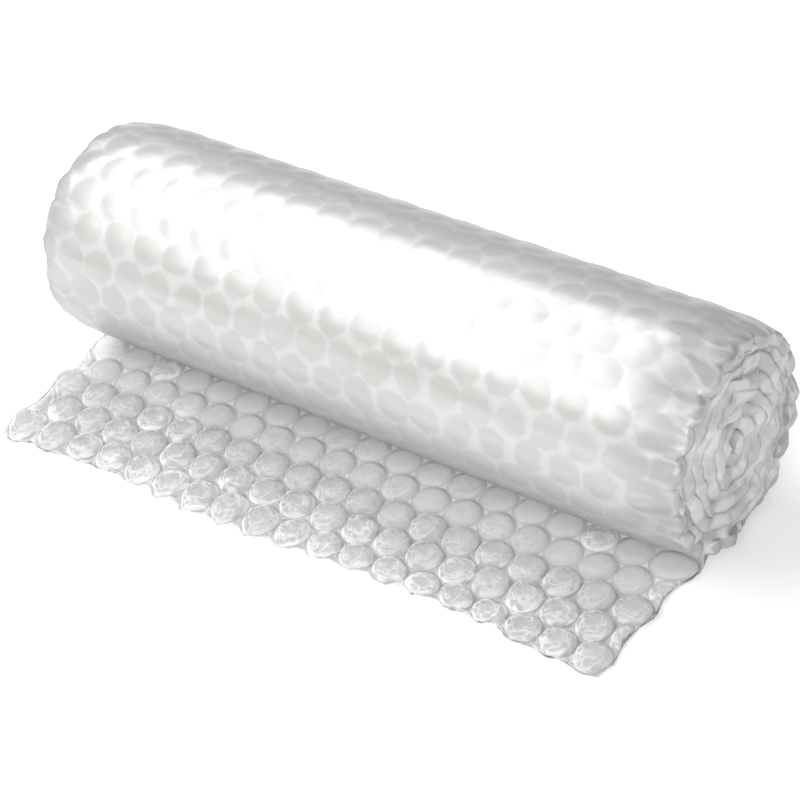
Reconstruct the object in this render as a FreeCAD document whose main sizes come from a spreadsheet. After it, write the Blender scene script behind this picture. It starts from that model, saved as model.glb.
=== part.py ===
"""Roll of large-bubble cushioning film with its outer end let out flat on the ground.

X runs along the roll, the loose end points to -Y and +Z is up. The origin is under the middle of
the whole part, on the ground. All sizes are in millimetres.
"""
import FreeCAD, Part
import math
import os

NODE = "bubble_wrap_roll"
OUT_DIR = "parts"

# Driving dimensions. The bubbles stand in rows along the roll, and every second row is half a pitch
# over. The slitting knife cuts the edge bubbles of those rows in half and lets their air out.
SIZES = [
    ("web_width", 500.0, "width of the film web, along the roll"),
    ("bubble_diameter", 25.0, "bubble at its foot, corner to corner"),
    ("bubble_gap", 1.3, "least width of the sealed film between two bubbles"),
    ("bubble_height", 10.0, "free bubble, from the ground to its crown"),
    ("shoulder_width", 4.2, "how far a bubble's shoulder runs in over its crown"),
    ("shoulder_drop", 4.8, "how far a bubble's shoulder runs down its side"),
    ("cut_bubble_height", 2.2, "edge bubble that the knife has opened"),
    ("film_thickness", 0.8, "backing film, thickened so that it stays a sound solid"),
    ("layer_thickness", 9.0, "one wound layer, with its bubbles pressed a little"),
    ("turn_gap", 1.0, "air between one turn and the next"),
    ("roll_radius", 82.0, "outside of the first half turn, at the cell borders"),
    ("eye_radius", 10.0, "least radius of the open eye in the middle"),
    ("floor_press", 2.0, "how far the soft roll settles at its flat spot"),
    ("flap_length", 144.6, "loose end, from its cut edge to the line under the roll's axis"),
    ("front_margin", 13.0, "cut edge to the first row of bubble centres"),
    ("cell_rise", 1.0, "how far a bubble bulges the outer film on the roll"),
    ("film_root", 2.0, "how deep the outer film is sunk into the layer under it"),
    ("winding_drift", 6.0, "how far the roll has run off sideways from the loose end"),
]

BUBBLE_SIDES = 8
ROW_SHARE_CLEAR = 0.6   # a row is free when it lies this share of a row in front of the roll
ROW_SHARE_START = 0.25  # the bulged film starts this share of a row behind the flat spot


def make_sheet(doc):
    """Spreadsheet with one aliased cell for each driving dimension."""
    sheet = doc.addObject("Spreadsheet::Sheet", "sizes")
    for line, (alias, value, note) in enumerate(SIZES, start=1):
        sheet.set("A%d" % line, note)
        sheet.set("B%d" % line, str(value))
        sheet.setAlias("B%d" % line, alias)
    doc.recompute()
    return sheet


class Winding:
    """Where the film runs, worked out from the sheet.

    Y is 0 on the line under the roll's axis and Z is 0 on the ground. The spiral is made of half
    turns about two centres, one half a turn spacing above the other, so each arc runs on smoothly
    into the next. Angles start at the bottom and grow towards the back.
    """

    def __init__(self, sheet):
        self.spacing = sheet.layer_thickness + sheet.turn_gap
        self.outside = sheet.roll_radius
        self.layer_radius = sheet.roll_radius - sheet.film_thickness
        self.layer = sheet.layer_thickness
        self.axis_height = sheet.roll_radius - sheet.floor_press
        self.flat_angle = math.acos(self.axis_height / self.outside)
        self.flat_half = self.outside * math.sin(self.flat_angle)
        room = self.layer_radius - self.layer - sheet.eye_radius
        self.half_turns = 1 + int(room / (self.spacing / 2))
        self.across = max(2, int(sheet.web_width / (sheet.bubble_diameter + sheet.bubble_gap)))
        self.pitch = sheet.web_width / self.across
        self.row_pitch = self.pitch * math.sqrt(3) / 2
        self.first_row = sheet.front_margin - sheet.flap_length
        self.half_width = sheet.web_width / 2

    def centre_height(self, half_turn):
        """Height of the centre that a half turn is wound about."""
        return self.axis_height + (half_turn % 2) * self.spacing / 2

    def point(self, half_turn, radius, angle):
        """Point of the section at an angle on a circle about a half turn's centre."""
        return FreeCAD.Vector(0, radius * math.sin(angle),
                              self.centre_height(half_turn) - radius * math.cos(angle))

    def arc(self, half_turn, radius, start, end):
        """Arc of the section about a half turn's centre."""
        ends = [self.point(half_turn, radius, angle) for angle in (start, (start + end) / 2, end)]
        return Part.Arc(*ends).toShape()

    def row(self, number):
        """Place of a row of bubbles along the film, 0 under the roll's axis."""
        return self.first_row + number * self.row_pitch

    def free_rows(self):
        """Rows of bubbles that stand free on the loose end."""
        limit = -ROW_SHARE_CLEAR * self.row_pitch
        return 1 + int((limit - self.first_row) / self.row_pitch)

    def angle_at(self, along):
        """Angle on the outer turn at a length along the film."""
        angle = self.flat_angle + (along - self.flat_half) / self.outside
        if angle <= math.pi:
            return angle
        beyond = (angle - math.pi) * self.outside
        return math.pi + beyond / (self.outside - self.spacing / 2)

    def on_film(self, across, along, rise):
        """Point on the outer film of the roll, raised along the film's normal."""
        angle = self.angle_at(along)
        half_turn = 0 if angle <= math.pi else 1
        radius = self.outside - half_turn * self.spacing / 2 + rise
        place = self.point(half_turn, radius, angle)
        place.x = across
        return place

    def bubbles_in_row(self, number):
        """Places across the web of a row's whole bubbles."""
        short = number % 2
        start = -self.half_width + (1 + short) * self.pitch / 2
        return [start + i * self.pitch for i in range(self.across - short)]


def make_wound_layer(doc, sheet, winding):
    """All turns of the roll as one spiral, with its outer end pressed flat on the ground."""
    spacing, layer = winding.spacing, winding.layer
    radii = [winding.layer_radius - k * spacing / 2 for k in range(winding.half_turns)]
    nip = winding.row(winding.free_rows() - 1) + winding.row_pitch / 2
    layer_top = winding.axis_height - winding.layer_radius + layer

    outer = []
    inner = []
    for k, radius in enumerate(radii):
        start = winding.flat_angle if k == 0 else k * math.pi
        outer.append(winding.arc(k, radius, start, (k + 1) * math.pi))
        inner.append(winding.arc(k, radius - layer, k * math.pi, (k + 1) * math.pi))

    front_low = FreeCAD.Vector(0, nip, 0)
    front_high = FreeCAD.Vector(0, nip, layer_top)
    flat_end = FreeCAD.Vector(0, winding.flat_half, 0)
    last = len(radii) - 1
    end_angle = (last + 1) * math.pi
    edges = [
        Part.makeLine(front_low, flat_end),
        Part.makeLine(flat_end, winding.point(0, radii[0], winding.flat_angle)),
    ]
    edges += outer
    edges.append(Part.makeLine(winding.point(last, radii[last], end_angle),
                               winding.point(last, radii[last] - layer, end_angle)))
    edges += reversed(inner)
    edges.append(Part.makeLine(winding.point(0, radii[0] - layer, 0), front_high))
    edges.append(Part.makeLine(front_high, front_low))

    section = doc.addObject("Part::Feature", "turns_section")
    section.Shape = Part.Face(Part.Wire(Part.__sortEdges__(edges)))
    turns = doc.addObject("Part::Extrusion", "turns")
    turns.Base = section
    turns.DirMode = "Custom"
    turns.Dir = FreeCAD.Vector(1, 0, 0)
    turns.setExpression("LengthFwd", "sizes.web_width")
    turns.Solid = True
    turns.Symmetric = True
    turns.setExpression("Placement.Base.x", "sizes.winding_drift / 2")
    return turns


def make_loose_film(doc):
    """Backing film of the loose end, flat on the ground."""
    film = doc.addObject("Part::Box", "loose_film")
    film.setExpression("Length", "sizes.web_width")
    film.setExpression("Width", "sizes.flap_length")
    film.setExpression("Height", "sizes.film_thickness")
    film.setExpression("Placement.Base.x", "-sizes.web_width / 2 - sizes.winding_drift / 2")
    film.setExpression("Placement.Base.y", "-sizes.flap_length")
    return film


def make_bubble(doc):
    """One whole bubble: an upright wall and a sloping shoulder round a flat crown."""
    body = doc.addObject("PartDesign::Body", "bubble")
    wall = body.newObject("PartDesign::AdditivePrism", "bubble_wall")
    wall.Polygon = BUBBLE_SIDES
    wall.setExpression("Circumradius", "sizes.bubble_diameter / 2")
    wall.setExpression("Height", "sizes.bubble_height")
    doc.recompute()
    faces = enumerate(wall.Shape.Faces, start=1)
    crown = max(faces, key=lambda item: item[1].CenterOfMass.z)[0]
    shoulder = body.newObject("PartDesign::Chamfer", "bubble_shoulder")
    shoulder.Base = (wall, ["Face%d" % crown])
    shoulder.ChamferType = "Two distances"
    shoulder.setExpression("Size", "sizes.shoulder_drop")
    shoulder.setExpression("Size2", "sizes.shoulder_width")
    doc.recompute()
    return body


def make_cut_bubble(doc):
    """One flattened bubble of the kind that the knife opens at the web's edge."""
    pad = doc.addObject("Part::Prism", "cut_bubble")
    pad.Polygon = BUBBLE_SIDES
    pad.setExpression("Circumradius", "sizes.bubble_diameter / 2")
    pad.setExpression("Height", "sizes.cut_bubble_height")
    doc.recompute()
    return pad


def copies_at(shape, places):
    """Compound of copies of a shape moved to the given places."""
    copies = []
    for place in places:
        copy = shape.copy()
        copy.translate(place)
        copies.append(copy)
    return Part.makeCompound(copies)


def make_free_bubbles(doc, sheet, winding, bubble):
    """Whole bubbles of the loose end. The roll presses down the ones that it rests on."""
    shift = -sheet.winding_drift / 2
    places = []
    for number in range(winding.free_rows()):
        for across in winding.bubbles_in_row(number):
            places.append(FreeCAD.Vector(across + shift, winding.row(number), 0))
    field = doc.addObject("Part::Feature", "bubble_field")
    field.Shape = copies_at(bubble.Shape, places)

    rest = doc.addObject("Part::Cylinder", "roll_rest")
    turn = "(sizes.layer_thickness + sizes.turn_gap)"
    rest.setExpression("Radius", "sizes.roll_radius - %s / 2 + sizes.cell_rise + sizes.turn_gap" % turn)
    rest.setExpression("Height", "sizes.web_width + 2 * sizes.bubble_diameter")
    rest.Placement.Rotation = FreeCAD.Rotation(FreeCAD.Vector(0, 1, 0), 90)
    rest.setExpression("Placement.Base.x", "-sizes.web_width / 2 - sizes.bubble_diameter")
    rest.setExpression("Placement.Base.z", "sizes.roll_radius - sizes.floor_press + %s / 2" % turn)

    pressed = doc.addObject("Part::Cut", "free_bubbles")
    pressed.Base = field
    pressed.Tool = rest
    return pressed


def make_edge_bubbles(doc, sheet, winding, pad):
    """Opened half bubbles along both edges of the loose end, trimmed to the web."""
    shift = -sheet.winding_drift / 2
    places = []
    for number in range(1, winding.free_rows(), 2):
        for side in (-1, 1):
            across = side * winding.half_width + shift
            places.append(FreeCAD.Vector(across, winding.row(number), 0))
    field = doc.addObject("Part::Feature", "edge_field")
    field.Shape = copies_at(pad.Shape, places)

    web = doc.addObject("Part::Box", "web_limits")
    web.setExpression("Length", "sizes.web_width")
    web.setExpression("Width", "sizes.flap_length")
    web.setExpression("Height", "2 * sizes.bubble_height")
    web.setExpression("Placement.Base.x", "-sizes.web_width / 2 - sizes.winding_drift / 2")
    web.setExpression("Placement.Base.y", "-sizes.flap_length")

    trimmed = doc.addObject("Part::Common", "edge_bubbles")
    trimmed.Base = field
    trimmed.Tool = web
    return trimmed


def cell_corners(winding, first, last):
    """Corners of a whole cell in turn, from its centre. An end row has only its inner half."""
    wide, low, high = winding.pitch / 2, winding.row_pitch / 3, winding.row_pitch * 2 / 3
    upper = [(wide, low), (0, high), (-wide, low)]
    lower = [(-wide, -low), (0, -high), (wide, -low)]
    if first:
        return [(wide, 0)] + upper + [(-wide, 0)]
    if last:
        return [(-wide, 0)] + lower + [(wide, 0)]
    return upper + lower + upper[:1]


def edge_corners(winding, side, first, last):
    """Corners of the half cell at the web's edge in turn, from the middle of its cut side."""
    wide, low, high = winding.pitch / 2, winding.row_pitch / 3, winding.row_pitch * 2 / 3
    corners = [(0, -high), (wide, -low), (wide, low), (0, high)]
    if first:
        corners = [(wide, 0), (wide, low), (0, high)]
    if last:
        corners = [(0, -high), (wide, -low), (wide, 0)]
    return [(-side * across, along) for across, along in corners]


def film_rows(sheet, winding):
    """First and last row of cells that the bulged film on the roll covers."""
    start = winding.flat_half + ROW_SHARE_START * winding.row_pitch
    first = winding.free_rows()
    while winding.row(first) < start:
        first += 1
    front_radius = winding.outside - winding.spacing / 2
    end_angle = 2 * math.pi - math.asin(sheet.bubble_diameter / front_radius)
    last = first
    while winding.angle_at(winding.row(last + 1)) <= end_angle:
        last += 1
    return first, last


def make_outer_film(doc, sheet, winding):
    """Film round the outside of the roll, bulged by each bubble that lies behind it."""
    first, last = film_rows(sheet, winding)
    rise, root = sheet.cell_rise, -(sheet.film_thickness + sheet.film_root)
    half = winding.half_width
    faces = []
    start_line, end_line = {}, {}
    edge_line = {}

    def note(across, along, height):
        """Keep a corner that lies on a border of the film."""
        key = round(across, 4)
        if abs(along - winding.row(first)) < 1e-6:
            start_line[key] = (across, along, height)
        if abs(along - winding.row(last)) < 1e-6:
            end_line[key] = (across, along, height)
        if abs(across - half) < 1e-6:
            edge_line[round(along, 4)] = (along, height)

    def fan(across, along, height, corners):
        """Faces from a cell's middle to its corners."""
        note(across, along, height)
        middle = winding.on_film(across, along, height)
        rim = []
        for over, up in corners:
            note(across + over, along + up, 0.0)
            rim.append(winding.on_film(across + over, along + up, 0.0))
        for one, two in zip(rim, rim[1:]):
            faces.append(Part.Face(Part.makePolygon([middle, one, two, middle])))

    for number in range(first, last + 1):
        ends = (number == first, number == last)
        for across in winding.bubbles_in_row(number):
            fan(across, winding.row(number), rise, cell_corners(winding, *ends))
        if number % 2:
            for side in (-1, 1):
                fan(side * half, winding.row(number), 0.0, edge_corners(winding, side, *ends))

    roots = [winding.row(number) for number in range(first, last + 1)]
    for one, two in zip(roots, roots[1:]):
        corners = [winding.on_film(-half, one, root), winding.on_film(half, one, root),
                   winding.on_film(half, two, root), winding.on_film(-half, two, root)]
        faces.append(Part.Face(Part.makePolygon(corners + corners[:1])))
    for line, along in ((start_line, roots[0]), (end_line, roots[-1])):
        corners = [winding.on_film(*line[key]) for key in sorted(line)]
        corners += [winding.on_film(half, along, root), winding.on_film(-half, along, root)]
        faces.append(Part.Face(Part.makePolygon(corners + corners[:1])))
    for side in (-1, 1):
        corners = [winding.on_film(side * half, *edge_line[key]) for key in sorted(edge_line)]
        corners += [winding.on_film(side * half, along, root) for along in reversed(roots)]
        faces.append(Part.Face(Part.makePolygon(corners + corners[:1])))

    shell = Part.Shell(faces)
    film = doc.addObject("Part::Feature", "outer_film")
    film.Shape = Part.Solid(shell)
    film.Placement.Base.x = sheet.winding_drift / 2
    return film


def check(doc, part):
    """Stop on any object that failed, and on a part that isn't one sound solid."""
    for item in doc.Objects:
        if "Invalid" in item.State or "Error" in item.State:
            raise RuntimeError("%s failed: %s" % (item.Name, item.State))
        shape = getattr(item, "Shape", None)
        if shape is not None and hasattr(shape, "isNull") and shape.isNull():
            raise RuntimeError("%s has no shape" % item.Name)
    if not part.Shape.isValid():
        raise RuntimeError("%s isn't a valid shape" % part.Label)
    if len(part.Shape.Solids) != 1:
        raise RuntimeError("%s has %d solids" % (part.Label, len(part.Shape.Solids)))


def main():
    doc = FreeCAD.newDocument("bubble_wrap_roll")
    sheet = make_sheet(doc)
    winding = Winding(sheet)

    turns = make_wound_layer(doc, sheet, winding)
    film = make_loose_film(doc)
    bubbles = make_free_bubbles(doc, sheet, winding, make_bubble(doc))
    edges = make_edge_bubbles(doc, sheet, winding, make_cut_bubble(doc))
    outer = make_outer_film(doc, sheet, winding)
    doc.recompute()

    pieces = [turns, film, outer, bubbles, edges]
    roll = doc.addObject("Part::MultiFuse", NODE)
    roll.Label = NODE
    roll.Shapes = pieces
    # The origin goes under the middle of the whole part.
    box = FreeCAD.BoundBox()
    for piece in pieces:
        box.add(piece.Shape.optimalBoundingBox(False))
    roll.Placement.Base = FreeCAD.Vector(-box.Center.x, -box.Center.y, -box.ZMin)
    doc.recompute()
    check(doc, roll)

    os.makedirs(OUT_DIR, exist_ok=True)
    roll.Shape.exportStep(os.path.join(OUT_DIR, NODE + ".step"))
    box = roll.Shape.optimalBoundingBox(False)
    print("size %.1f x %.1f x %.1f mm, volume %.0f mm3, %d faces, %d half turns" % (
        box.XLength, box.YLength, box.ZLength, roll.Shape.Volume, len(roll.Shape.Faces),
        winding.half_turns))


main()
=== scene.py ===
# %% [markdown]
# # Bubble wrap roll
# A web of large-bubble film, wound into a soft roll, with its outer end let out flat on the ground.
# The web is two films: a flat backing, and a film that is drawn into bubbles and sealed to it between
# them. The bubbles stand up on the loose end and point inwards on the roll, so the outside of the roll
# is the flat backing, with the bubbles showing through it.
# The whole web is modelled flat first, from one bubble and its seal, and then wound by moving every
# vertex. The real roll is made in the same order, and a bubble keeps its place on the web throughout.

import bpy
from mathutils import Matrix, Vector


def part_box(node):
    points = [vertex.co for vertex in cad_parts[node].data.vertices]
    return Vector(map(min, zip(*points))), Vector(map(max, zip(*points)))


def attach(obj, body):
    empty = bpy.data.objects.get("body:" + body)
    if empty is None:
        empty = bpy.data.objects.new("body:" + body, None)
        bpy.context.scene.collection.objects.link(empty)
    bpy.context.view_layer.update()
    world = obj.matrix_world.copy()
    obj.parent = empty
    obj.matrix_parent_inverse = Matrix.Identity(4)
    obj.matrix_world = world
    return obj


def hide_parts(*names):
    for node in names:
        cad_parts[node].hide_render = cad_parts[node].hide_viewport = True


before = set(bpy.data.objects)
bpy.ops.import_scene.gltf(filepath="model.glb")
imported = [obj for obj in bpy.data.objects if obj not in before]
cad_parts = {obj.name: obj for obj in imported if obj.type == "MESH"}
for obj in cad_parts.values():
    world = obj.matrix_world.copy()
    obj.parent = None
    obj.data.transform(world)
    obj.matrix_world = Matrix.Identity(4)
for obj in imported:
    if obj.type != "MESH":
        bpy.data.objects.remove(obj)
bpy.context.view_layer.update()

import math
from types import SimpleNamespace

import bmesh
import bpy
import numpy as np
from mathutils import Matrix, Quaternion, Vector

CAD_NODE = "bubble_wrap_roll"
low_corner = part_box(CAD_NODE)[0]

# %% [markdown]
# ## Driving sizes
# All are in metres. Whole bubbles fit across the web, and every second row lies half a pitch over, so
# that each bubble has six neighbours. The roll rests on a small flat spot. It is wound in half turns
# about two centres, one half a turn's spacing above the other, so that each half turn meets the next.

# %% Sizes of the web and of the winding
WEB_WIDTH = 0.500
ACROSS = 19
PITCH = WEB_WIDTH / ACROSS
ROW = PITCH * math.sqrt(3) / 2
CORNER = PITCH / math.sqrt(3)
FOOT = 0.0124
FILM = 0.0004
BUBBLE_HEIGHT = 0.0096
SEAL_STEP = 0.0005
WELD = 2e-5

FLAP = 0.1446
FRONT_MARGIN = 0.013
ROLL_RADIUS = 0.082
FLOOR_PRESS = 0.002
SPACING = 0.010
CORNER_RADIUS = 0.040
HALF_TURNS = 15
DRIFT = 0.006

CONTACT_Y = low_corner[1] + FLAP
AXIS_HEIGHT = ROLL_RADIUS - FLOOR_PRESS
FIRST_ROW = FRONT_MARGIN - FLAP
print("pitch %.2f mm, rows %.2f mm apart, contact line at y %.4f" % (PITCH * 1000, ROW * 1000, CONTACT_Y))

# %% [markdown]
# ## Small helpers
# An operator works on all that is selected, and the loaded part is selected at the start, so every
# step begins from a clean selection. In edit mode, vertices are picked by their place.


# %% Selection helpers
def only(piece):
    """Select one object alone and make it active."""
    if bpy.context.mode != "OBJECT":
        bpy.ops.object.mode_set(mode="OBJECT")
    bpy.ops.object.select_all(action="DESELECT")
    piece.select_set(True)
    bpy.context.view_layer.objects.active = piece


def pick(piece, test):
    """In edit mode, select the vertices whose place passes a test, and what lies between them."""
    shape = bmesh.from_edit_mesh(piece.data)
    for vertex in shape.verts:
        vertex.select_set(bool(test(vertex.co)))
    shape.select_flush(True)
    shape.select_flush(False)
    bmesh.update_edit_mesh(piece.data)


def scale_picked(factor):
    """Scale what is selected about the bubble's axis, at its own height."""
    bpy.ops.transform.resize(value=(factor, factor, 1), center_override=(0, 0, 0))


# %% [markdown]
# ## One bubble with its seal
# The seal round a bubble is a hexagon, because the six neighbours meet it halfway. It starts as a
# circle with twelve corners, and every second one is drawn in to the middle of a side. The bubble is
# extruded out of it ring by ring: a steep wall, a round shoulder and a low crown, as film has when it
# is sucked into a round hole. It has only a few dozen faces, because it is copied many hundred times.
# The backing is a second hexagon below, with rings of its own, so that it can bulge. There are three
# such cells: one for the loose end, one for the outer turn, where the backing shows and the bubble
# hardly does, and the plainest for the turns inside.


# %% Model a bubble
def hexagon(name, height):
    """Flat hexagon with a vertex in the middle of each side, its corners towards the rows ahead."""
    bpy.ops.mesh.primitive_circle_add(vertices=12, radius=CORNER, fill_type="NGON", location=(0, 0, height))
    piece = bpy.context.object
    piece.name = name
    only(piece)
    bpy.ops.object.transform_apply(location=True)
    bpy.ops.object.mode_set(mode="EDIT")
    pick(piece, lambda co: abs(math.sin(3 * math.atan2(co.x, co.y))) > 0.5)
    scale_picked(math.cos(math.pi / 6))
    return piece


def draw_rings(piece, rings, upper):
    """Inset the face, extrude it through rings of (radius, height), and close it with a centre vertex.

    Each vertex is marked with the film that it belongs to: 1 for the bubbles, 0 for the backing.
    """
    bpy.ops.mesh.select_all(action="SELECT")
    bpy.ops.mesh.inset(thickness=SEAL_STEP)
    for index, (radius, height) in enumerate(rings):
        if index > 0:
            bpy.ops.mesh.extrude_region_move()
        ring = bmesh.from_edit_mesh(piece.data)
        for vertex in ring.verts:
            if vertex.select:
                vertex.co.xy *= radius / vertex.co.xy.length
                vertex.co.z = height
        bmesh.update_edit_mesh(piece.data)
    bpy.ops.mesh.poke()
    bpy.ops.mesh.select_all(action="DESELECT")
    bpy.ops.object.mode_set(mode="OBJECT")
    films = piece.data.attributes.new("upper", "FLOAT", "POINT")
    films.data.foreach_set("value", np.full(len(piece.data.vertices), upper))


def bubble_cell(name, bubble_rings, crown, backing_rings):
    """One bubble, the seal round it, and the backing below."""
    top = hexagon(name, FILM)
    draw_rings(top, bubble_rings, 1.0)
    centre = max(top.data.vertices, key=lambda vertex: vertex.co.z - 9 * vertex.co.xy.length)
    centre.co.z = crown
    under = hexagon(name + "_backing", 0)
    draw_rings(under, backing_rings, 0.0)
    bpy.ops.object.mode_set(mode="EDIT")
    bpy.ops.mesh.select_all(action="SELECT")
    bpy.ops.mesh.flip_normals()
    bpy.ops.object.mode_set(mode="OBJECT")
    top.select_set(True)
    bpy.context.view_layer.objects.active = top
    bpy.ops.object.join()
    print(name, "has", len(top.data.polygons), "faces")
    return top


CLOSE_RINGS = [(FOOT, FILM), (0.0119, 0.0036), (0.0102, 0.0074), (0.0062, 0.0092)]
HIDDEN_RINGS = [(FOOT, FILM), (0.0106, 0.0080)]
close_cell = bubble_cell("close_cell", CLOSE_RINGS, BUBBLE_HEIGHT, [(FOOT, 0)])
turned_cell = bubble_cell("turned_cell", HIDDEN_RINGS, 0.0092, [(FOOT, 0), (0.0075, 0)])
hidden_cell = bubble_cell("hidden_cell", HIDDEN_RINGS, 0.0092, [(FOOT, 0)])

# %% [markdown]
# ## The path of the winding
# The path is flat under the loose end and the flat spot. Behind the flat spot it bends up round a
# tighter corner, and then it follows the half turns. Each stretch is an arc that starts where the
# last one ends and in the same direction, so the film has no kink. A place on the flat web is a
# distance across, a distance along and a height towards the bubbles. Winding turns the last two into
# a place on the arc.


# %% Work out the path
def winding_arcs():
    """Arcs as (centre y, centre z, radius, start angle, end angle), with angles counted from below."""
    reach = ROLL_RADIUS - AXIS_HEIGHT
    corner_y = math.sqrt(reach * (ROLL_RADIUS + AXIS_HEIGHT - 2 * CORNER_RADIUS))
    corner_end = math.atan2(corner_y, AXIS_HEIGHT - CORNER_RADIUS)
    arc_highlights = [(corner_y, CORNER_RADIUS, CORNER_RADIUS, 0.0, corner_end)]
    for k in range(HALF_TURNS):
        start = corner_end if k == 0 else k * math.pi
        height = AXIS_HEIGHT + (k % 2) * SPACING / 2
        arc_highlights.append((0.0, height, ROLL_RADIUS - k * SPACING / 2, start, (k + 1) * math.pi))
    return corner_y, arc_highlights


FLAT_END, ARCS = winding_arcs()
ARC_STARTS = FLAT_END + np.concatenate([[0.0], np.cumsum([arc[2] * (arc[4] - arc[3]) for arc in ARCS])])
LOOSE_END = 0.5 * FLAT_END
SPLIT = float(ARC_STARTS[3])
WEB_END = float(ARC_STARTS[-1])
print("web is %.2f m long, its first turn ends at %.3f m" % (WEB_END + FLAP, SPLIT))


def wind(across, along, height):
    """Places on the wound web for places on the flat one."""
    which = np.clip(np.searchsorted(ARC_STARTS, along, side="right") - 1, 0, len(ARCS) - 1)
    arc = np.array(ARCS)[which]
    angle = arc[:, 3] + (along - ARC_STARTS[which]) / arc[:, 2]
    reach = arc[:, 2] - height
    flat = along < FLAT_END
    y = np.where(flat, along, arc[:, 0] + reach * np.sin(angle))
    z = np.where(flat, height, arc[:, 1] - reach * np.cos(angle))
    return np.column_stack([across, y + CONTACT_Y, z])


# %% [markdown]
# ## The flat web
# One cell is repeated across and along by Array modifiers: once for the even rows, and once for the
# odd ones, which lie half a pitch over. The two are joined and trimmed to the straight edges of the
# web, and doubles are merged. The knife leaves half bubbles along both edges, as it does on the real
# web. Last, the two films are bridged all round, so that the mesh is closed.


# %% Lay out a flat web
def rows_of(cell, name, first_x, first_row, count_x, rows):
    """Every second row of cells, from a first row."""
    only(cell)
    bpy.ops.object.duplicate()
    piece = bpy.context.object
    piece.name = name
    piece.location = (first_x, FIRST_ROW + first_row * ROW, 0)
    bpy.ops.object.transform_apply(location=True)
    for title, count, offset in (("across", count_x, (PITCH, 0, 0)), ("along", rows, (0, 2 * ROW, 0))):
        array = piece.modifiers.new(title, "ARRAY")
        array.count = count
        array.use_relative_offset = False
        array.use_constant_offset = True
        array.constant_offset_displace = offset
        bpy.ops.object.modifier_apply(modifier=title)
    return piece


def trim(place, normal):
    """Cut the web straight through and drop what lies outside."""
    bpy.ops.mesh.select_all(action="SELECT")
    bpy.ops.mesh.bisect(plane_co=place, plane_no=normal, clear_outer=True, threshold=1e-6)


def close_rim():
    """Bridge the rims of the two films."""
    bpy.ops.mesh.select_all(action="DESELECT")
    bpy.ops.mesh.select_mode(type="EDGE")
    bpy.ops.mesh.select_non_manifold(extend=False, use_wire=False, use_boundary=True,
                                     use_multi_face=False, use_non_contiguous=False, use_verts=False)
    bpy.ops.mesh.bridge_edge_loops()
    bpy.ops.mesh.select_mode(type="VERT")


def open_edges(piece):
    """How many edges don't join exactly two faces."""
    uses = np.zeros(len(piece.data.edges), dtype=int)
    edge = np.empty(len(piece.data.loops), dtype=int)
    piece.data.loops.foreach_get("edge_index", edge)
    np.add.at(uses, edge, 1)
    return int((uses != 2).sum())


def flat_web(name, cell, start, end):
    """Flat web between two places along it."""
    first = math.floor((start - FIRST_ROW) / ROW) - 1
    first -= first % 2
    pairs = math.ceil(((end - FIRST_ROW) / ROW - first) / 2) + 1
    web = rows_of(cell, name, (PITCH - WEB_WIDTH) / 2, first, ACROSS, pairs)
    odd = rows_of(cell, name + "_odd", -WEB_WIDTH / 2, first + 1, ACROSS + 1, pairs)
    only(web)
    odd.select_set(True)
    bpy.ops.object.join()
    bpy.ops.object.mode_set(mode="EDIT")
    bpy.ops.mesh.select_all(action="SELECT")
    bpy.ops.mesh.remove_doubles(threshold=WELD)
    trim((WEB_WIDTH / 2, 0, 0), (1, 0, 0))
    trim((-WEB_WIDTH / 2, 0, 0), (-1, 0, 0))
    trim((0, start, 0), (0, -1, 0))
    trim((0, end, 0), (0, 1, 0))
    close_rim()
    bpy.ops.object.mode_set(mode="OBJECT")
    print(name, "has", len(web.data.polygons), "faces and", open_edges(web), "open edges")
    return web


loose_end = flat_web("loose_end", close_cell, -FLAP, LOOSE_END)
outer_turn = flat_web("outer_turn", turned_cell, LOOSE_END, SPLIT)
inner_turns = flat_web("inner_turns", hidden_cell, SPLIT, WEB_END)
for cell in (close_cell, turned_cell, hidden_cell):
    bpy.data.objects.remove(cell)

# %% [markdown]
# ## More mesh where the film creases
# The bubbles of the loose end are seen close up, and each gets dents of its own, so that piece is
# divided once by a Subdivision Surface, which also rounds the bubbles. On the roll only the ends are
# creased, so only the faces near the web's edges are divided there, and the rim's faces once more.

# %% Divide what will be creased
END_ZONE = 0.042
INNER_END_ZONE = 0.022
RIM_ZONE = 1e-5

only(loose_end)
rounding = loose_end.modifiers.new("rounding", "SUBSURF")
rounding.levels = rounding.render_levels = 1
bpy.ops.object.modifier_apply(modifier="rounding")

for turns, zone in ((outer_turn, END_ZONE), (inner_turns, INNER_END_ZONE)):
    only(turns)
    bpy.ops.object.mode_set(mode="EDIT")
    pick(turns, lambda co: abs(co.x) > WEB_WIDTH / 2 - zone)
    bpy.ops.mesh.subdivide(number_cuts=1)
    pick(turns, lambda co: abs(co.x) > WEB_WIDTH / 2 - RIM_ZONE)
    bpy.ops.mesh.subdivide(number_cuts=1)
    bpy.ops.object.mode_set(mode="OBJECT")
for piece in (loose_end, outer_turn, inner_turns):
    print(piece.name, sum(len(face.vertices) - 2 for face in piece.data.polygons), "triangles")

# %% [markdown]
# ## No two bubbles alike
# Air leaks and film stretches, so real bubbles differ: some lean, some are low, and those on the
# knife's line are open and flat. Each vertex first finds its own bubble. Every bubble then has a few
# chances, drawn from one seeded generator, that all its vertices share. A vertex also keeps its place on
# its bubble, which the finish needs for the arcs of light round it.


# %% Read a web and find each vertex's bubble
CHANCE_SEED = 11
LISTED_ROWS, LISTED_ACROSS = 120, 64


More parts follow.
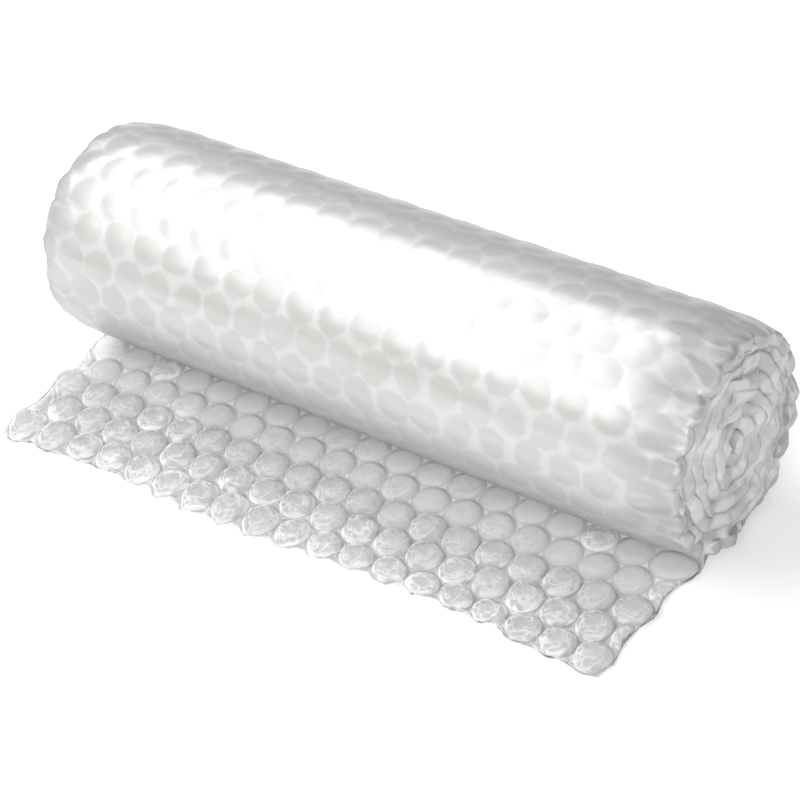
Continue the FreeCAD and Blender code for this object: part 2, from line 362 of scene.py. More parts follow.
def bubble_of(across, along):
    """Place from the nearest bubble's middle, with its distance, row, number and how far over it lies."""
    best = None
    for odd in (0, 1):
        row = np.round(((along - FIRST_ROW) / ROW - odd) / 2) * 2 + odd
        shift = 0.0 if odd else PITCH / 2
        number = np.round((across + WEB_WIDTH / 2 - shift) / PITCH)
        middle = number * PITCH + shift - WEB_WIDTH / 2
        ahead = along - FIRST_ROW - row * ROW
        reach = np.hypot(across - middle, ahead)
        found = (reach, row, number, middle, ahead)
        if best is not None:
            nearer = reach < best[0]
            found = tuple(np.where(nearer, this, other) for this, other in zip(found, best))
        best = found
    return best


def read_web(piece):
    """Flat places of a web's vertices, with what each knows of its bubble."""
    flat = np.empty(len(piece.data.vertices) * 3)
    piece.data.vertices.foreach_get("co", flat)
    flat = flat.reshape(-1, 3)
    web = SimpleNamespace(flat=flat)
    web.across, web.along, web.height = (flat[:, axis].copy() for axis in range(3))
    web.reach, web.row, number, middle, ahead = bubble_of(web.across, web.along)
    key = ((web.row + 4) * LISTED_ACROSS + number + 2).astype(int)
    chances = np.random.default_rng(CHANCE_SEED).uniform(-1, 1, (LISTED_ROWS * LISTED_ACROSS, 8))
    web.chance = chances[key]
    web.bubble = np.column_stack([(web.across - middle) / FOOT, ahead / FOOT, 4 * web.chance[:, 7]])
    web.upper = np.empty(len(flat))
    piece.data.attributes["upper"].data.foreach_get("value", web.upper)
    web.share = np.clip((web.height - FILM) / BUBBLE_HEIGHT, 0, 1)
    web.loose = web.along < 0
    web.cut = (np.abs(middle) > WEB_WIDTH / 2 - PITCH / 4) | (web.row < 0)
    web.slack = np.zeros(len(flat))
    return web


def waves(points, size, seed):
    """Smooth noise from -1 to 1 at the points, with features of about the size."""
    shift = np.random.default_rng(seed).uniform(0, 2 * math.pi, (7, 2))
    total = np.zeros(len(points))
    for index, phases in enumerate(shift):
        turn = 2.399963 * index
        axis = np.array([math.cos(turn), math.sin(turn), math.cos(1.7 * turn)])
        twist = np.sin(points @ axis[::-1] * 4.1 / size + phases[1])
        pace = (2 * math.pi / size) * (0.7 + 0.1 * index)
        total += np.sin(points @ axis * pace + phases[0] + 1.4 * twist)
    return total / 7 * 1.7


def folds(points, size, seed):
    """Noise with sharp ridges, as creased film has."""
    return 1 - 2.4 * np.abs(waves(points, size, seed))


# %% [markdown]
# ## Full, slack and crushed bubbles
# On the loose end the front rows have lost some air and are wrinkled all over. A few bubbles elsewhere
# are crushed, and the half bubbles on the knife's line are open and low. The rows next to the roll have
# been pressed flatter by it, and their film is taut. The wrinkles are dents in the mesh, and the finer
# ones come later, from the finish. Heights are given as shares of a free bubble's.


# %% Vary the bubbles
PRESSED = 0.38
HALF_PRESSED = 0.66
CRUSHED = 0.55
CUT_OPEN = 0.55
SLACK_LOSS = 0.16
LOOSE_LEAN, WOUND_LEAN = 0.0012, 0.0006
DENT, SHARP_DENT, SLACK_SINK = 0.0011, 0.0007, 0.0006
ROOM_LEFT = 0.0008
NIP = 0.018


def vary_bubbles(web):
    """Give each bubble its own height, lean and dents."""
    web.slack = np.where(web.loose, np.clip(1.05 - 0.24 * np.maximum(web.row, 0), 0.12, 1), 0.0)
    web.slack = np.clip(web.slack + 0.22 * web.chance[:, 5] * web.loose, 0, 1)
    crushed = web.loose & (web.chance[:, 1] > 0.88)
    own = web.chance[:, 0]
    full = np.where(web.loose, 1 - SLACK_LOSS * web.slack + 0.05 * own, 1 + 0.03 * own)
    full = np.where(web.loose & (web.row > 2), HALF_PRESSED + 0.06 * own, full)
    full = np.where(web.loose & (web.row > 3), PRESSED + 0.04 * own, full)
    full = np.where(crushed, CRUSHED, full)
    full = np.where(web.cut & web.loose, CUT_OPEN + 0.15 * web.chance[:, 2], full)
    web.slack = np.where(crushed | (web.cut & web.loose), 1, web.slack)
    lean = np.where(web.loose, LOOSE_LEAN, WOUND_LEAN) * web.share
    web.across += lean * web.chance[:, 3]
    web.along += lean * web.chance[:, 4]
    apart = web.chance[:, 6] * 0.5
    points = np.column_stack([web.across, web.along, apart])
    dents = waves(points, 0.0125, 3) * DENT + folds(points, 0.0105, 4) * SHARP_DENT
    web.height += web.share * (BUBBLE_HEIGHT * (full - 1) + web.slack * (dents - SLACK_SINK))


def press(web, rise):
    """Keep the bubbles below the turn that lies on them, and let the backing bulge out over them."""
    gap = SPACING - FLOOR_PRESS + web.along ** 2 / (2 * ROLL_RADIUS)
    room = np.where(np.abs(web.along) < NIP, gap, SPACING)
    web.height = np.minimum(web.height, room - ROOM_LEFT)
    bulge = np.clip(1 - (web.reach / FOOT) ** 2, 0, 1) * (0.8 + 0.3 * web.chance[:, 7])
    web.height -= np.where((web.flat[:, 2] < FILM / 2) & (web.along > FLAT_END), rise * bulge, 0)


# %% [markdown]
# ## The two ends of the roll
# A roll this soft has no clean spiral at its ends. The bubbles there are squeezed into pillows that
# fill the space between one turn and the next, each row makes a round lobe, and the turns stand out
# unevenly. The film of the outer turn curls in over the others. The right end has been pushed out by
# about a centimetre, and the left end hardly at all. Lumps of the turns inside are drawn by their place
# in the roll, not along the web, so that neighbours move together and the spiral is hard to follow.
# Distances fade in from the roll's side to the web's edge, so nothing jumps.


# %% Crumple the ends
PILLOW_ZONE = 0.016
RIGHT_LOBE, RIGHT_OUT, RIGHT_CURL = 0.0028, 0.0115, 0.0050
LEFT_LOBE, LEFT_OUT, LEFT_CURL = 0.0015, 0.0005, 0.0035
PILLOW_FILL, PILLOW_SWELL = 0.98, 0.02
RIM_BULGE = 0.0010
WOUND_FADE = 0.06
INSIDE_BACK = 0.0035
CREASE, SHARP_CREASE, SHARED_CREASE = 0.0018, 0.0003, 0.0034


def fill_pillows(web, wound):
    """Raise the upper film near the web's edge until it fills the turn, and round the rim out."""
    near = np.clip((np.abs(web.across) - (WEB_WIDTH / 2 - PILLOW_ZONE)) / PILLOW_ZONE, 0, 1)
    near = near * near * (3 - 2 * near) * wound
    swell = waves(np.column_stack([web.along, np.sign(web.across), web.along * 0.3]), 0.034, 28)
    full = SPACING * (PILLOW_FILL + PILLOW_SWELL * swell)
    web.height = (1 - near) * web.height + near * web.upper * full
    web.across += np.sign(web.across) * near * RIM_BULGE * 4 * web.upper * (1 - web.upper)


def crumple_ends(web):
    """Push the edges of the wound web in and out, curl them in, and crease them."""
    right = web.across > 0
    side = np.where(right, 1.0, -1.0)
    wound = np.clip(web.along / WOUND_FADE, 0, 1)
    edge = np.clip((np.abs(web.across) - (WEB_WIDTH / 2 - END_ZONE)) / END_ZONE, 0, 1)
    near = edge ** 1.6 * wound
    fill_pillows(web, wound)
    lobe = 1.5 * np.abs(np.cos(math.pi * (web.along - FIRST_ROW) / ROW)) ** 0.8 - 1
    turn_by_turn = waves(np.column_stack([web.along, side, web.along * 0.4]), 0.075, 21)
    small = folds(np.column_stack([web.along, web.across, side + web.upper * 0.006]), 0.020, 22)
    inner = web.along > SPLIT
    turn_share, lump_share = np.where(inner, 0.30, 1.0), np.where(inner, 1.0, 0.3)
    wound_place = wind(0.2 * side, web.along, web.height)
    lumps = waves(wound_place, 0.040, 30) + 0.2 * folds(wound_place, 0.024, 31)
    bumpy = turn_share * (lobe + turn_by_turn) + lump_share * 1.1 * lumps
    lobe_size = np.where(right, RIGHT_LOBE, LEFT_LOBE)
    out = np.where(right, RIGHT_OUT, LEFT_OUT) + lobe_size * bumpy + 0.0003 * small
    out -= INSIDE_BACK * np.exp(-np.maximum(web.along - SPLIT, 0) / 0.35) * inner
    first_turn = np.clip((SPLIT - web.along) / 0.10, 0, 1)
    curl = np.where(right, RIGHT_CURL, LEFT_CURL) * first_turn * edge ** 2.2 * wound
    crease = waves(np.column_stack([web.along, side, web.across]), 0.048, 23) * CREASE
    crease += folds(np.column_stack([web.along, web.across, side]), 0.030, 24) * SHARP_CREASE
    web.across += side * near * out
    shared = waves(wound_place, 0.050, 32) * SHARED_CREASE * np.clip((WEB_END - web.along) / 0.10, 0, 1)
    web.height += curl + near * np.where(right, 1.1, 0.55) * np.where(inner, 0.35 * crease + shared, crease)
    web.along += near * 0.0007 * waves(np.column_stack([web.across, web.along, side]), 0.032, 25)
    web.slack = np.maximum(web.slack, np.where(right, 1.0, 0.5) * near)


# %% [markdown]
# ## The cut edges of the loose end
# Cut film isn't straight. The knife strays by a few millimetres along the front, and the right edge
# spreads where the roll lies on it. Both are given at a few places, with straight runs between them.
# Each edge also draws in between the bubbles, thins out, lifts and waves.


# %% Wave the cut edges
FRONT_PLACES = (-0.25, -0.15, -0.08, -0.02, 0.04, 0.10, 0.16, 0.25)
FRONT_STRAY = (-0.006, 0.000, -0.004, -0.003, 0.002, 0.006, 0.004, -0.002)
SIDE_PLACES = (-0.14, -0.10, -0.06, -0.035, 0.0)
SIDE_SPREAD = (0.000, 0.001, 0.003, 0.009, 0.009)
CUT_ZONE = 0.016
THIN_ZONE = 0.006


def ragged_edges(web):
    """Let the cut edges of the loose end wave, in the plane and up."""
    side = np.sign(web.across)
    flat = 1 - np.clip(web.along / WOUND_FADE, 0, 1)
    near_side = np.clip((np.abs(web.across) - (WEB_WIDTH / 2 - CUT_ZONE)) / CUT_ZONE, 0, 1) * flat
    near_front = np.clip((CUT_ZONE - FLAP - web.along) / CUT_ZONE, 0, 1)
    scallop_side = np.cos(2 * math.pi * (web.along - FIRST_ROW) / ROW / 2)
    scallop_front = np.cos(2 * math.pi * (web.across - PITCH / 2 + WEB_WIDTH / 2) / PITCH)
    spread = np.interp(web.along, SIDE_PLACES, SIDE_SPREAD) * (side > 0)
    stray = np.interp(web.across, FRONT_PLACES, FRONT_STRAY)
    wave = waves(np.column_stack([web.across, web.along, np.zeros(len(side))]), 0.030, 26)
    ripple = waves(np.column_stack([web.across, web.along, side]), 0.011, 27)
    drawn_in = 0.0010 + 0.0014 * wave + 0.0011 * ripple - 0.0024 * scallop_side - spread
    web.across -= side * near_side * drawn_in
    web.along += near_front * (0.0008 + 0.0010 * wave + 0.0008 * ripple - 0.0014 * scallop_front + stray)
    rim = np.clip(1 - (WEB_WIDTH / 2 - np.abs(web.flat[:, 0])) / THIN_ZONE, 0, 1) * flat
    rim = np.maximum(rim, np.clip(1 - (web.flat[:, 1] + FLAP) / THIN_ZONE, 0, 1))
    web.height *= 1 - 0.6 * rim
    web.height += np.maximum(near_side, near_front) * (0.0010 + 0.0009 * wave + 0.0007 * ripple)


# %% [markdown]
# ## Wind the web
# The changed places are wound and written back once. The turns run off a little sideways, which puts
# the roll's two ends 6 mm to the right of the loose end's. Marks go with every vertex for the finish:
# how near it is to the middle of its bubble, to the roll and to a cut edge, and how slack its film is.
# On the outer turn the backing bulges a little over each bubble.


# %% Wind and write back
OUTER_BULGE = 0.0009
HEM_LOOSE, HEM_LEFT, HEM_RIGHT = 0.004, 0.016, 0.040


def write_back(piece, web):
    """Put the wound places, the web's own map and the marks into the mesh."""
    mesh = piece.data
    placed = wind(web.across, web.along, web.height)
    placed[:, 0] += DRIFT * (np.clip((web.along + 0.03) / 0.10, 0, 1) - 0.5)
    placed[:, 2] = np.maximum(placed[:, 2], 0.0)
    mesh.vertices.foreach_set("co", placed.ravel())
    corner = np.empty(len(mesh.loops), dtype=int)
    mesh.loops.foreach_get("vertex_index", corner)
    web_map = mesh.uv_layers.new(name="web")
    web_map.data.foreach_set("uv", web.flat[corner, :2].ravel())
    near_roll = np.clip((web.along + 0.085) / 0.03, 0, 1)
    inside = np.minimum(WEB_WIDTH / 2 - np.abs(web.flat[:, 0]), web.flat[:, 1] + FLAP)
    hem_wound = np.where(web.across > 0, HEM_RIGHT, HEM_LEFT)
    hem_width = np.where(web.along > WOUND_FADE, hem_wound, HEM_LOOSE)
    marks = {"crown": np.clip(1 - web.reach / FOOT, -0.25, 1), "slack": web.slack, "near_roll": near_roll,
             "hem": np.clip(1 - inside / hem_width, 0, 1)}
    for name, values in marks.items():
        mesh.attributes.new(name, "FLOAT", "POINT").data.foreach_set("value", values)
    mesh.attributes.new("bubble", "FLOAT_VECTOR", "POINT").data.foreach_set("vector", web.bubble.ravel())
    mesh.update()


def finish_web(piece, rise):
    """Shape, wind and declare one stretch of web."""
    web = read_web(piece)
    vary_bubbles(web)
    press(web, rise)
    crumple_ends(web)
    ragged_edges(web)
    write_back(piece, web)
    only(piece)
    bpy.ops.object.shade_smooth()
    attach(piece, "root")
    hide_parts("bubble_wrap_roll")


finish_web(loose_end, 0.0)
finish_web(outer_turn, OUTER_BULGE)
finish_web(inner_turns, 0.0)
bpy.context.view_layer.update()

# %% [markdown]
# ## What every film finish shares
# Clear film is glossy. It is see-through when looked at square on. Highlights are painted into its colour
# where it turns away from the camera and along its creases, and it is bright where two films are sealed
# together. Fine creases are a node group that all the finishes share, with a height for bump and a mask of
# lines for painted highlights. Another group turns the bubble mark into the round cell with a soft, uneven
# border, and finds where three seals meet. A third draws the thin painted arcs of light round the shoulder
# of a slack bubble. The shader and Layer Weight stay in each material.


# %% Node helpers
def new_group(name, inputs, outputs):
    """Empty node group with float or vector sockets."""
    group = bpy.data.node_groups.new(name, "ShaderNodeTree")
    for title, kind, value in inputs:
        socket = group.interface.new_socket(title, in_out="INPUT", socket_type="NodeSocket" + kind)
        if value is not None:
            socket.default_value = value
    for title, kind in outputs:
        group.interface.new_socket(title, in_out="OUTPUT", socket_type="NodeSocket" + kind)
    return group, group.nodes.new("NodeGroupInput"), group.nodes.new("NodeGroupOutput")


def math_node(tree, operation, first, second=None, third=None, clamp=False):
    """Math node whose inputs are sockets or numbers. Returns its output."""
    node = tree.nodes.new("ShaderNodeMath")
    node.operation = operation
    node.use_clamp = clamp
    for socket, value in zip(node.inputs, (first, second, third)):
        if isinstance(value, bpy.types.NodeSocket):
            tree.links.new(value, socket)
        elif value is not None:
            socket.default_value = value
    return node.outputs[0]


def ramp_node(tree, value, low, high, to_low=0.0, to_high=1.0):
    """Smooth ramp of a socket from one range to another. Returns its output."""
    node = tree.nodes.new("ShaderNodeMapRange")
    node.interpolation_type = "SMOOTHSTEP"
    tree.links.new(value, node.inputs["Value"])
    for title, number in (("From Min", low), ("From Max", high), ("To Min", to_low), ("To Max", to_high)):
        node.inputs[title].default_value = number
    return node.outputs["Result"]


def noise_node(tree, vector, scale, detail=2.0):
    """Noise texture at a scale. Returns the node."""
    node = tree.nodes.new("ShaderNodeTexNoise")
    node.inputs["Detail"].default_value = detail
    tree.links.new(vector, node.inputs["Vector"])
    if isinstance(scale, bpy.types.NodeSocket):
        tree.links.new(scale, node.inputs["Scale"])
    else:
        node.inputs["Scale"].default_value = scale
    return node


def vector_node(tree, operation, first, second=None, third=None):
    """Vector Math node whose inputs are sockets or values. Returns the node."""
    node = tree.nodes.new("ShaderNodeVectorMath")
    node.operation = operation
    for socket, value in zip(node.inputs, (first, second, third)):
        if isinstance(value, bpy.types.NodeSocket):
            tree.links.new(value, socket)
        elif value is not None:
            socket.default_value = value
    return node


def stretched(tree, vector, scale):
    """Place scaled by the given shares along its axes. Returns the socket."""
    node = tree.nodes.new("ShaderNodeMapping")
    node.inputs["Scale"].default_value = scale
    tree.links.new(vector, node.inputs["Vector"])
    return node.outputs["Vector"]


# %% Creases, cells and arcs
def crease_group():
    """Height of fine creases, and a mask of lines along them for painted highlights."""
    group, enter, leave = new_group(
        "film_creases", [("Vector", "Vector", None), ("Scale", "Float", 100.0), ("Slack", "Float", 1.0)],
        [("Height", "Float"), ("Lines", "Float")])
    bend = noise_node(group, enter.outputs["Vector"], enter.outputs["Scale"], 0.0)
    bent = (0.012, 0.012, 0.012)
    warped = vector_node(group, "MULTIPLY_ADD", bend.outputs["Color"], bent, enter.outputs["Vector"])
    ridge = noise_node(group, warped.outputs[0], enter.outputs["Scale"], 0.6)
    away = math_node(group, "ABSOLUTE", math_node(group, "SUBTRACT", ridge.outputs["Fac"], 0.5))
    line = ramp_node(group, away, 0.0, 0.11, 1.0, 0.0)
    patches = noise_node(group, enter.outputs["Vector"], 65.0, 0.0)
    patchy = ramp_node(group, patches.outputs["Fac"], 0.44, 0.62)
    crease_highlights = math_node(group, "MULTIPLY", math_node(group, "MULTIPLY", line, patchy), enter.outputs["Slack"])
    raised = math_node(group, "MULTIPLY", math_node(group, "MULTIPLY", away, -3.0), enter.outputs["Slack"])
    group.links.new(raised, leave.inputs["Height"])
    group.links.new(crease_highlights, leave.inputs["Lines"])
    return group


def cell_group():
    """Round cell of each bubble, and the points where three seals meet, where a painted highlight goes."""
    group, enter, leave = new_group(
        "bubble_cells", [("Crown", "Float", 0.0), ("Vector", "Vector", None), ("Edge", "Float", -0.2),
                         ("Width", "Float", 0.5), ("Ragged", "Float", 1.2)],
        [("Cell", "Float"), ("Points", "Float")])
    uneven = noise_node(group, enter.outputs["Vector"], 60.0, 2.0)
    off_middle = math_node(group, "SUBTRACT", uneven.outputs["Fac"], 0.5)
    shift = math_node(group, "MULTIPLY", off_middle, enter.outputs["Ragged"])
    moved = math_node(group, "ADD", enter.outputs["Crown"], shift)
    above = math_node(group, "SUBTRACT", moved, enter.outputs["Edge"])
    cell = ramp_node(group, math_node(group, "DIVIDE", above, enter.outputs["Width"]), 0.0, 1.0)
    nudged = math_node(group, "MULTIPLY_ADD", off_middle, 0.30, enter.outputs["Crown"])
    points = ramp_node(group, nudged, -0.19, -0.08, 1.0, 0.0)
    group.links.new(cell, leave.inputs["Cell"])
    group.links.new(points, leave.inputs["Points"])
    return group


def arc_group():
    """Painted highlights: thin arcs round the shoulder of a slack bubble, from its own place on the bubble.
    """
    group, enter, leave = new_group(
        "painted_shoulder_highlights", [("Place", "Vector", None), ("Slack", "Float", 1.0)], [("Arcs", "Float")])
    level = vector_node(group, "MULTIPLY", enter.outputs["Place"], (1, 1, 0))
    reach = vector_node(group, "LENGTH", level.outputs[0]).outputs["Value"]
    apart = vector_node(group, "MULTIPLY", enter.outputs["Place"], (0, 0, 1)).outputs[0]
    round_it = vector_node(group, "NORMALIZE", level.outputs[0]).outputs[0]
    climb = group.nodes.new("ShaderNodeCombineXYZ")
    group.links.new(math_node(group, "MULTIPLY", reach, 2.8), climb.inputs["Z"])
    own = vector_node(group, "ADD", round_it, apart).outputs[0]
    spot = vector_node(group, "ADD", own, climb.outputs[0])
    ridge = noise_node(group, spot.outputs[0], 1.3, 1.0)
    away = math_node(group, "ABSOLUTE", math_node(group, "SUBTRACT", ridge.outputs["Fac"], 0.5))
    line = ramp_node(group, away, 0.0, 0.15, 0.6, 0.0)
    inside = math_node(group, "MULTIPLY", line, ramp_node(group, reach, 0.25, 0.60))
    broken = ramp_node(group, ridge.outputs["Fac"], 0.38, 0.55, 0.15, 1.0)
    rim = math_node(group, "MULTIPLY", ramp_node(group, reach, 0.74, 0.90), broken)
    either = math_node(group, "MAXIMUM", inside, rim)
    ended = math_node(group, "MULTIPLY", either, ramp_node(group, reach, 0.96, 1.03, 1.0, 0.0))
    arc_highlights = math_node(group, "MULTIPLY", ended, enter.outputs["Slack"])
    group.links.new(arc_highlights, leave.inputs["Arcs"])
    return group


CREASES = crease_group()
CELLS = cell_group()
ARCS_OF_LIGHT = arc_group()
print("node groups", [group.name for group in (CREASES, CELLS, ARCS_OF_LIGHT)])

# %% [markdown]
# ## The film finishes
# One recipe makes the three finishes, each with its own values. On the loose end a single clear web
# lies over a pale floor and reads as a plain grey, with painted highlights on its rims and wrinkles. On
# the roll many webs lie behind each other and send the light back, so it is milky, with a darker cell
# inside a white border for each bubble. Towards its outline, where one looks along the layers, a painted
# shade darkens it. The film is a little less smooth than real film, because under a roughness of about
# 0.28 the render's noise filter leaves thin lines on it.


# %% Film recipe
SMOOTHEST, DULLEST = 0.29, 0.41


def mark(tree, name, output="Fac"):
    """Vertex mark by its name."""
    node = tree.nodes.new("ShaderNodeAttribute")
    node.attribute_name = name
    return node.outputs[output]


def colour_mix(tree, factor, first, second):
    """Mix of two colours, each a socket or a value."""
    node = tree.nodes.new("ShaderNodeMix")
    node.data_type = "RGBA"
    tree.links.new(factor, node.inputs["Factor"])
    for title, value in (("A", first), ("B", second)):
        if isinstance(value, bpy.types.NodeSocket):
            tree.links.new(value, node.inputs[title])
        else:
            node.inputs[title].default_value = (*value, 1)
    return node.outputs["Result"]


def film(name, cell, seal, rim, cell_alpha, seal_alpha, rim_alpha, points, crease_highlights, depth, shine, edge, width,
         ragged, grain, coat=1.0, arc_highlights=0.0, streaks=0.0, hem=0.0, backing=None, near=None, seal_painted_light_near_roll=None,
         tint=None, painted_outline_shade=None):
    """Clear film: colours of the cell, the seal, the rim and the backing, and how much each covers.

    The rim colour is the one that the painted highlights and the bright seals take.
    """
    material = bpy.data.materials.new(name)
    material.use_nodes = True
    tree = material.node_tree
    shader = tree.nodes["Principled BSDF"]
    shader.inputs["IOR"].default_value = 1.6
    shader.inputs["Specular IOR Level"].default_value = shine
    shader.inputs["Coat Weight"].default_value = coat
    shader.inputs["Coat Roughness"].default_value = SMOOTHEST
    place = tree.nodes.new("ShaderNodeTexCoord").outputs["Object"]
    cells = tree.nodes.new("ShaderNodeGroup")
    cells.node_tree = CELLS
    cells.inputs["Edge"].default_value = edge
    cells.inputs["Width"].default_value = width
    cells.inputs["Ragged"].default_value = ragged
    tree.links.new(place, cells.inputs["Vector"])
    tree.links.new(mark(tree, "crown"), cells.inputs["Crown"])

    # Painted highlight: where the surface turns away from the camera, its colour goes towards the rim
    # colour and it covers more.
    turned = tree.nodes.new("ShaderNodeLayerWeight")
    turned.inputs["Blend"].default_value = 0.5
    highlights_and_seals = math_node(tree, "POWER", turned.outputs["Facing"], 3.0)
    creases = tree.nodes.new("ShaderNodeGroup")
    creases.node_tree = CREASES
    creases.inputs["Scale"].default_value = 70.0
    tree.links.new(stretched(tree, place, (grain, 1, 1)), creases.inputs["Vector"])
    tree.links.new(mark(tree, "slack"), creases.inputs["Slack"])
    # Painted highlights along the crease lines.
    highlights_and_seals = math_node(tree, "MULTIPLY_ADD", creases.outputs["Lines"], crease_highlights, highlights_and_seals)
    bump = tree.nodes.new("ShaderNodeBump")
    bump.inputs["Strength"].default_value = 0.7
    bump.inputs["Distance"].default_value = depth
    tree.links.new(creases.outputs["Height"], bump.inputs["Height"])
    tree.links.new(bump.outputs["Normal"], shader.inputs["Normal"])
    # Painted highlights: thin arcs of light round the shoulders of slack bubbles.
    if arc_highlights:
        shoulders = tree.nodes.new("ShaderNodeGroup")
        shoulders.node_tree = ARCS_OF_LIGHT
        tree.links.new(mark(tree, "bubble", "Vector"), shoulders.inputs["Place"])
        tree.links.new(mark(tree, "slack"), shoulders.inputs["Slack"])
        highlights_and_seals = math_node(tree, "MULTIPLY_ADD", shoulders.outputs["Arcs"], arc_highlights, highlights_and_seals)
    # Where the near_roll mark is set, the seals are brighter and a painted highlight lies where three seals
    # meet.
    seals = math_node(tree, "SUBTRACT", 1.0, cells.outputs["Cell"])
    seals = math_node(tree, "MULTIPLY", seals, 0.22)
    lit_seals = math_node(tree, "MULTIPLY_ADD", cells.outputs["Points"], points, seals)
    highlights_and_seals = math_node(tree, "MULTIPLY_ADD", lit_seals, mark(tree, "near_roll"), highlights_and_seals, clamp=True)

    haze = noise_node(tree, place, 24.0, 1.0)
    cloud = ramp_node(tree, haze.outputs["Fac"], 0.30, 0.70, 0.35, 1.0)
    shade = math_node(tree, "MULTIPLY", cells.outputs["Cell"], cloud)
    if streaks:
        streak = noise_node(tree, stretched(tree, place, (0.14, 1, 1)), 110.0, 1.0)
        drawn = ramp_node(tree, streak.outputs["Fac"], 0.3, 0.7, -streaks, streaks)
        shade = math_node(tree, "ADD", shade, drawn, clamp=True)
    # Painted light: beside the roll the loose end's cells and seals are lighter, against the shadow that
    # the roll casts there.
    if near:
        cell = colour_mix(tree, mark(tree, "near_roll"), cell, near)
        seal = colour_mix(tree, mark(tree, "near_roll"), seal, seal_painted_light_near_roll)
    flat_colour = colour_mix(tree, shade, seal, cell)
    if tint:
        flat_colour = colour_mix(tree, mark(tree, "hem"), flat_colour, tint)
    if backing:
        flat_colour = colour_mix(tree, mark(tree, "upper"), backing, flat_colour)
    colour = colour_mix(tree, highlights_and_seals, flat_colour, rim)
    # Painted shade: darker towards the outline, where the surface turns away from the camera.
    if painted_outline_shade:
        away = math_node(tree, "POWER", turned.outputs["Facing"], 3.5)
        colour = colour_mix(tree, away, colour, painted_outline_shade)
    tree.links.new(colour, shader.inputs["Base Color"])
    cover = ramp_node(tree, cells.outputs["Cell"], 0.0, 1.0, seal_alpha, cell_alpha)
    more = math_node(tree, "SUBTRACT", rim_alpha, cover)
    alpha = math_node(tree, "MULTIPLY_ADD", more, highlights_and_seals, cover)
    if hem:
        thinner = math_node(tree, "MULTIPLY_ADD", mark(tree, "hem"), -hem, 1.0)
        alpha = math_node(tree, "MULTIPLY", alpha, thinner)
    tree.links.new(alpha, shader.inputs["Alpha"])
    dull = ramp_node(tree, haze.outputs["Fac"], 0.3, 0.7, SMOOTHEST, DULLEST)
    tree.links.new(dull, shader.inputs["Roughness"])
    return material


# %% [markdown]
# ## The three finishes
# An alpha is the share that the film covers: of a bubble's cell, of the seals and of the bright rims, where
# highlights are painted. The loose end is the clearest. Its seals are darker than its bubbles, except
# beside the roll, where both are painted lighter, to an even grey, against the shadow that the roll casts
# there.
# The outer turn is milky, with streaks drawn along the roll. The turns inside are pale and plain, because
# they show only at the ends of the roll and through the outer turn.

# %% The three finishes
FINISHES = {
    loose_end: dict(
        name="clear_film", cell=(0.50, 0.50, 0.50), seal=(0.34, 0.34, 0.34), rim=(0.94, 0.94, 0.94),
        backing=(0.55, 0.55, 0.55), near=(0.84, 0.84, 0.84), seal_painted_light_near_roll=(0.64, 0.64, 0.64),
        cell_alpha=0.38, seal_alpha=0.64, rim_alpha=0.86, hem=0.5, points=0.9, crease_highlights=0.28, arc_highlights=0.85,
        depth=0.0020, shine=0.2, coat=0.0, edge=-0.04, width=0.12, ragged=0.25, grain=0.6),
    outer_turn: dict(
        name="milky_film", cell=(0.55, 0.56, 0.535), seal=(0.60, 0.60, 0.585), rim=(0.68, 0.68, 0.67),
        tint=(0.42, 0.42, 0.43), painted_outline_shade=(0.16, 0.16, 0.175),
        cell_alpha=0.80, seal_alpha=0.86, rim_alpha=0.92, points=0.2, crease_highlights=0.6, streaks=0.8,
        depth=0.0026, shine=1.0, edge=-0.16, width=0.36, ragged=1.2, grain=0.5),
    inner_turns: dict(
        name="inner_film", cell=(0.84, 0.84, 0.83), seal=(0.90, 0.90, 0.88), rim=(0.92, 0.92, 0.90),
        cell_alpha=0.46, seal_alpha=0.54, rim_alpha=0.68, points=0.3, crease_highlights=0.3,
        depth=0.0008, shine=1.0, edge=-0.1, width=0.4, ragged=1.2, grain=1),
}
for piece, values in FINISHES.items():
    piece.data.materials.clear()
    piece.data.materials.append(film(**values))
print("finishes", [values["name"] for values in FINISHES.values()])

# %% [markdown]
# ## Floor and surroundings
# The floor is pale and takes the shadow. It and the world are white to the camera because of their
# own colour there, through Light Path, and not because of more light on the roll.


# %% Floor and world
def seen_directly(tree):
    """1 for what the camera sees, straight or through the film, and 0 for other light."""
    rays = tree.nodes.new("ShaderNodeLightPath")
    return math_node(tree, "MAXIMUM", rays.outputs["Is Camera Ray"], rays.outputs["Is Transmission Ray"])


FLOOR_GLOW = 0.27
FLOOR_DROP = 0.0004
bpy.ops.object.select_all(action="DESELECT")
bpy.ops.mesh.primitive_plane_add(size=8, location=(0, 0, -FLOOR_DROP))
floor = bpy.context.object
floor.name = "floor"
floor_paint = bpy.data.materials.new("floor_paint")
floor_paint.use_nodes = True
paint = floor_paint.node_tree.nodes["Principled BSDF"]
paint.inputs["Base Color"].default_value = (0.86, 0.86, 0.86, 1)
paint.inputs["Roughness"].default_value = 0.9
paint.inputs["Specular IOR Level"].default_value = 0.1
paint.inputs["Emission Color"].default_value = (1, 1, 1, 1)
glow = math_node(floor_paint.node_tree, "MULTIPLY", seen_directly(floor_paint.node_tree), FLOOR_GLOW)
floor_paint.node_tree.links.new(glow, paint.inputs["Emission Strength"])
floor.data.materials.append(floor_paint)

ROOM_LIGHT = 0.30
world = bpy.data.worlds.new("studio")
bpy.context.scene.world = world
world.use_nodes = True
sky = world.node_tree
level = ramp_node(sky, seen_directly(sky), 0.0, 1.0, ROOM_LIGHT, 1.0)
sky.links.new(level, sky.nodes["Background"].inputs["Strength"])
sky.nodes["Background"].inputs["Color"].default_value = (1, 1, 1, 1)
print("floor", tuple(floor.dimensions), "world light", ROOM_LIGHT)

# %% [markdown]
# ## Lamps
# The band of light along the roll is the reflection of a large soft box. A reflection lies where the
# surface looks halfway between the camera and the lamp, so the lamp hangs overhead and to the left.
# A second lamp lights the front from near the camera, which leaves the back of the roll a shade
# darker. A third, weak one lights the right end.


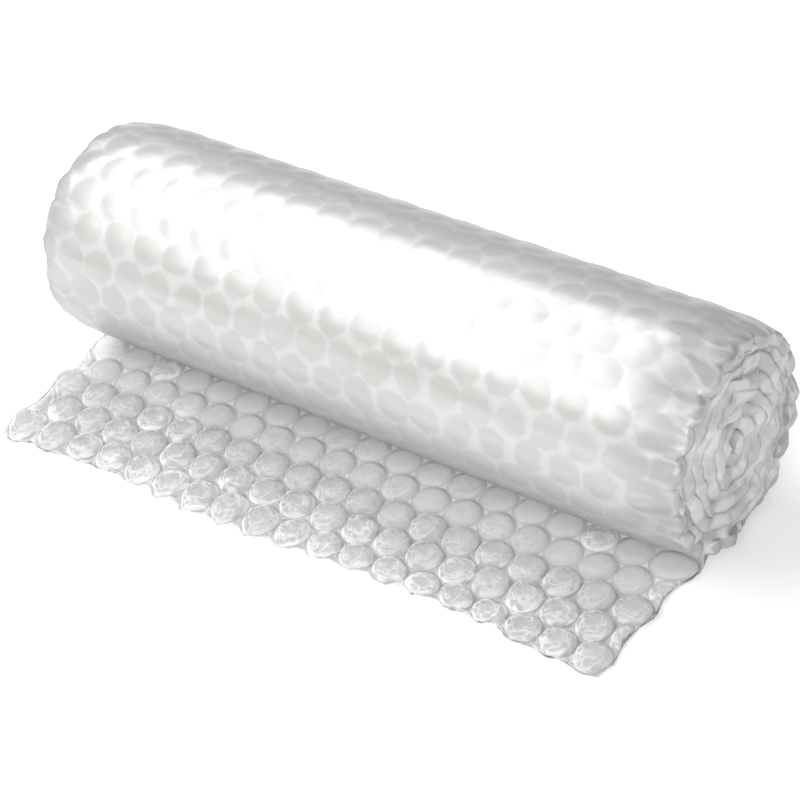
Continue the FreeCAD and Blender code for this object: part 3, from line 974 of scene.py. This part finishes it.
# %% Soft boxes
def soft_box(name, towards, distance, size, watts):
    """Soft box in a direction from the roll, turned to face it, with its second side along Y."""
    lamp = bpy.data.lights.new(name, "AREA")
    lamp.shape = "RECTANGLE"
    lamp.size, lamp.size_y = size
    lamp.energy = watts
    holder = bpy.data.objects.new(name, lamp)
    bpy.context.scene.collection.objects.link(holder)
    middle = Vector((0, CONTACT_Y, AXIS_HEIGHT))
    towards = Vector(towards).normalized()
    holder.location = middle + distance * towards
    across = Vector((0, 1, 0)).cross(towards).normalized()
    holder.rotation_mode = "QUATERNION"
    axes = Matrix((across, towards.cross(across), towards)).transposed()
    holder.rotation_quaternion = axes.to_quaternion()
    print(name, "at", tuple(round(value, 2) for value in holder.location))


soft_box("overhead", (-0.51, -0.17, 0.84), 1.9, (1.02, 3.8), 57)
soft_box("front", (0.50, -0.68, 0.53), 2.2, (1.4, 0.8), 20)
soft_box("side", (0.93, -0.25, 0.28), 2.0, (0.9, 0.9), 6)

# %% [markdown]
# ## Camera
# The camera looks at the roll from its front right and from above, with a long lens. It is tilted
# about its own axis, because the roll runs down to the right in the photograph.

# %% Camera
VIEW_TARGET = Vector((0.0253, -0.0035, 0.0526))
VIEW_DISTANCE = 1.806
VIEW_AZIMUTH = math.radians(42.64)
VIEW_ELEVATION = math.radians(41.09)
VIEW_TILT = math.radians(-10.60)
LENS, SENSOR = 122.1, 36.0

towards_camera = Vector((math.sin(VIEW_AZIMUTH) * math.cos(VIEW_ELEVATION),
                         -math.cos(VIEW_AZIMUTH) * math.cos(VIEW_ELEVATION), math.sin(VIEW_ELEVATION)))
camera_data = bpy.data.cameras.new("camera")
camera_data.sensor_width = SENSOR
camera_data.lens = LENS
camera = bpy.data.objects.new("camera", camera_data)
bpy.context.scene.collection.objects.link(camera)
camera.location = VIEW_TARGET + VIEW_DISTANCE * towards_camera
camera.rotation_mode = "QUATERNION"
level_view = (-towards_camera).to_track_quat("-Z", "Y")
camera.rotation_quaternion = level_view @ Quaternion((0, 0, 1), VIEW_TILT)
bpy.context.scene.camera = camera
bpy.context.scene.view_settings.view_transform = "Standard"
print("camera at", tuple(round(value, 3) for value in camera.location))
